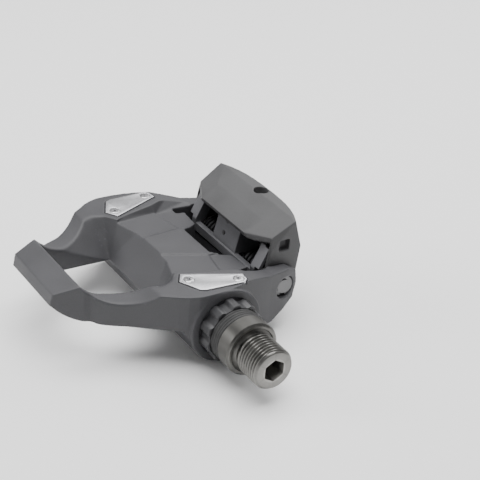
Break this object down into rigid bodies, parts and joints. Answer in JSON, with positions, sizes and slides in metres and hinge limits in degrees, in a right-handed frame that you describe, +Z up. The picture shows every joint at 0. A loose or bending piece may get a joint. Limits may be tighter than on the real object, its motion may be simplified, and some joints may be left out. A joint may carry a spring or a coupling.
{
  "type": "clipless pedal",
  "caption": "Single-sided road clipless pedal with a fixed front claw loop, a sprung rear cleat claw, metal wear plates and a threaded spindle on sealed bearings.",
  "frame": {"origin": "on the spindle axis at the crank face of the spindle collar", "axes": "+Y along the spindle towards the crank, +X forward to the front claw, +Z up through the cleat deck"},
  "size_m": [0.0924, 0.1029, 0.0382],
  "materials": {
    "spindle_steel": "machined, dark",
    "bearing_steel": "ground",
    "body_composite": "moulded fibre composite, matte",
    "plate_steel": "brushed stainless",
    "screw_steel": "bright",
    "lock_resin": "matte",
    "seal_rubber": "matte",
    "bush_nylon": "satin",
    "spring_steel": "oiled",
    "claw_composite": "moulded, matte",
    "guide_resin": "matte"
  },
  "bodies": {
    "axle": {"spindle": "spindle_steel", "inner_cone": "bearing_steel", "outer_cone": "bearing_steel", "tab_washer": "bearing_steel", "cone_locknut": "bearing_steel"},
    "pedal": {"pedal_body": "body_composite", "inboard_plate": "plate_steel", "outboard_plate": "plate_steel", "plate_screws": "screw_steel", "lock_bolt": "lock_resin", "dust_seal": "seal_rubber", "axle_sleeve": "bearing_steel", "needle_cup": "bearing_steel", "inner_cup": "bearing_steel", "outer_cup": "bearing_steel", "pivot_pin": "screw_steel", "pin_clips": "screw_steel", "spring_bushes": "bush_nylon", "inboard_spring": "spring_steel", "outboard_spring": "spring_steel"},
    "roller_ring": {"needle_rollers": "bearing_steel"},
    "inner_ball_ring": {"inner_balls": "bearing_steel"},
    "outer_ball_ring": {"outer_balls": "bearing_steel"},
    "claw": {"rear_claw": "claw_composite", "claw_guide": "guide_resin", "guide_rivets": "screw_steel"},
    "adjuster": {"tension_bolt": "screw_steel"},
    "adjuster_nut": {"tension_nut": "screw_steel"}
  },
  "joints": [
    {"name": "pedal_spin", "type": "hinge", "parent": "axle", "child": "pedal", "pos_m": [0, 0, 0], "axis": [0, 1, 0], "continuous": true},
    {"name": "roller_orbit", "type": "hinge", "parent": "axle", "child": "roller_ring", "pos_m": [0, 0, 0], "axis": [0, 1, 0], "continuous": true},
    {"name": "inner_ball_orbit", "type": "hinge", "parent": "axle", "child": "inner_ball_ring", "pos_m": [0, 0, 0], "axis": [0, 1, 0], "continuous": true},
    {"name": "outer_ball_orbit", "type": "hinge", "parent": "axle", "child": "outer_ball_ring", "pos_m": [0, 0, 0], "axis": [0, 1, 0], "continuous": true},
    {"name": "claw_pivot", "type": "hinge", "parent": "pedal", "child": "claw", "pos_m": [-0.028, -0.053, 0.003], "axis": [0, 1, 0], "range_deg": [-16, 0], "stiffness_Nm_per_rad": 1.8, "springref_deg": 20.05, "deforming": ["inboard_spring", "outboard_spring"]},
    {"name": "tension_screw", "type": "hinge", "parent": "claw", "child": "adjuster", "pos_m": [-0.0346, -0.053, 0.018], "axis": [0, 0, 1], "range_deg": [-722, 1444]},
    {"name": "tension_nut_slide", "type": "slide", "parent": "claw", "child": "adjuster_nut", "axis": [0, 0, -1], "range_m": [-0.001, 0.002]}
  ],
  "couplings": [
    {"joint": "roller_orbit", "follows": "pedal_spin", "ratio": 0.577},
    {"joint": "inner_ball_orbit", "follows": "pedal_spin", "ratio": 0.589},
    {"joint": "outer_ball_orbit", "follows": "pedal_spin", "ratio": 0.589},
    {"joint": "tension_screw", "follows": "tension_nut_slide", "rad_per_m": 12566}
  ]
}
